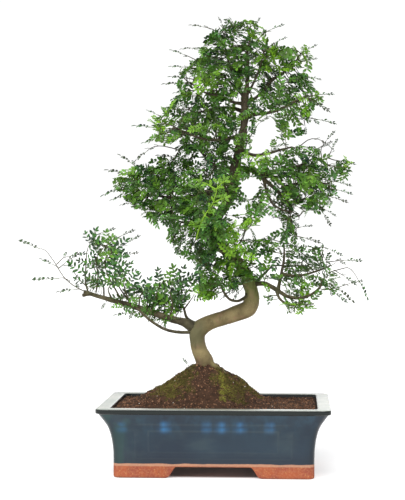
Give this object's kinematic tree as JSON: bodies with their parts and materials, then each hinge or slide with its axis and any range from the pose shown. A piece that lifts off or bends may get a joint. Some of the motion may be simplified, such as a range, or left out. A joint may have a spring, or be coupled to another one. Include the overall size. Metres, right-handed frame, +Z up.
{
  "type": "chinese pepper bonsai",
  "caption": "Miniature Chinese pepper tree with a bent trunk, spreading limbs and pinnate leaves, planted in a soil mound in a rectangular glazed pot on clay feet.",
  "frame": {"origin": "middle of the whole outline, pot and crown together, on the surface that the pot stands on", "axes": "+Z up, -Y toward the front of the pot and of the tree, +X to the right seen from the front, pot squared to X and Y"},
  "size_m": [0.5242, 0.2762, 0.6646],
  "materials": {
    "glaze": "glossy dark blue glaze over terracotta clay, bare at the base and feet",
    "netting": "matt black plastic netting",
    "soil": "matt reddish brown granular soil with moss",
    "bark": "matt olive brown bark",
    "leaf": "slightly glossy green leaf"
  },
  "bodies": {
    "root": {"drain_net_1": "netting", "drain_net_2": "netting", "pot": "glaze", "soil": "soil", "spray_01": "leaf", "spray_02": "leaf", "spray_03": "leaf", "spray_04": "leaf", "spray_05": "leaf", "spray_06": "leaf", "spray_07": "leaf", "spray_08": "leaf", "spray_09": "leaf", "spray_10": "leaf", "spray_11": "leaf", "spray_12": "leaf", "spray_13": "leaf", "spray_14": "leaf", "spray_15": "leaf", "spray_16": "leaf", "spray_17": "leaf", "spray_18": "leaf", "spray_19": "leaf", "spray_20": "leaf", "spray_21": "leaf", "spray_22": "leaf", "spray_23": "leaf", "spray_24": "leaf", "spray_25": "leaf", "spray_26": "leaf", "spray_27": "leaf", "spray_28": "leaf", "spray_29": "leaf", "spray_30": "leaf", "spray_31": "leaf", "spray_32": "leaf", "spray_33": "leaf", "spray_34": "leaf", "spray_35": "leaf", "spray_36": "leaf", "spray_37": "leaf", "spray_38": "leaf", "spray_39": "leaf", "spray_40": "leaf", "spray_41": "leaf", "spray_42": "leaf", "spray_43": "leaf", "spray_44": "leaf", "spray_45": "leaf", "spray_46": "leaf", "spray_47": "leaf", "spray_48": "leaf", "spray_49": "leaf", "spray_50": "leaf", "spray_51": "leaf", "trunk": "bark"}
  },
  "joints": []
}
